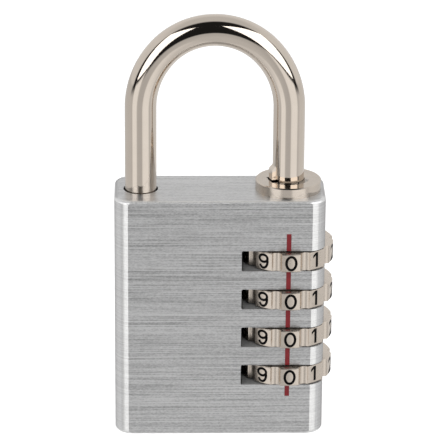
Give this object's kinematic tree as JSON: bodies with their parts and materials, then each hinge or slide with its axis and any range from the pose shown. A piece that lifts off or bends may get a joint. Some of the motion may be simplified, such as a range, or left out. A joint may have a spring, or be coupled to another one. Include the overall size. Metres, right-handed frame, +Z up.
{
  "type": "combination padlock",
  "caption": "Solid aluminium padlock with number dials in side slots, a red index line and a bent rod shackle that lifts through a round collar.",
  "frame": {"origin": "middle of the flat base of the lock's body", "axes": "+Z up along the shackle's legs, +X towards the dials and the long leg, -Y out of the face with the index line"},
  "size_m": [0.0418, 0.0176, 0.0822],
  "materials": {
    "body_aluminium": "brushed",
    "index_red": "satin",
    "plated_steel": "bright nickel plate",
    "plated_dial": "satin nickel plate",
    "inner_steel": "plain",
    "ring_brass": "turned"
  },
  "bodies": {
    "lock_body": {"body": "body_aluminium", "index_line": "index_red", "collar": "plated_steel", "retaining_ring": "inner_steel", "disc_spring": "inner_steel", "thrust_washer": "inner_steel", "spring_seat": "inner_steel", "shackle_spring": "inner_steel", "click_spring": "inner_steel", "channel_plug": "body_aluminium"},
    "shackle": {"shackle": "plated_steel"},
    "dial_1": {"number_dial_1": "plated_dial", "code_ring_1": "ring_brass"},
    "dial_2": {"number_dial_2": "plated_dial", "code_ring_2": "ring_brass"},
    "dial_3": {"number_dial_3": "plated_dial", "code_ring_3": "ring_brass"},
    "dial_4": {"number_dial_4": "plated_dial", "code_ring_4": "ring_brass"}
  },
  "joints": [
    {"name": "shackle_lift", "type": "slide", "parent": "lock_body", "child": "shackle", "axis": [0, 0, 1], "range_m": [0, 0.0078], "deforming": ["shackle_spring"]},
    {"name": "dial_1_turn", "type": "hinge", "parent": "lock_body", "child": "dial_1", "pos_m": [0.013, 0, 0.0358], "axis": [0, 0, 1], "continuous": true, "deforming": ["click_spring"]},
    {"name": "dial_2_turn", "type": "hinge", "parent": "lock_body", "child": "dial_2", "pos_m": [0.013, 0, 0.028], "axis": [0, 0, 1], "continuous": true},
    {"name": "dial_3_turn", "type": "hinge", "parent": "lock_body", "child": "dial_3", "pos_m": [0.013, 0, 0.0202], "axis": [0, 0, 1], "continuous": true},
    {"name": "dial_4_turn", "type": "hinge", "parent": "lock_body", "child": "dial_4", "pos_m": [0.013, 0, 0.0124], "axis": [0, 0, 1], "continuous": true}
  ]
}
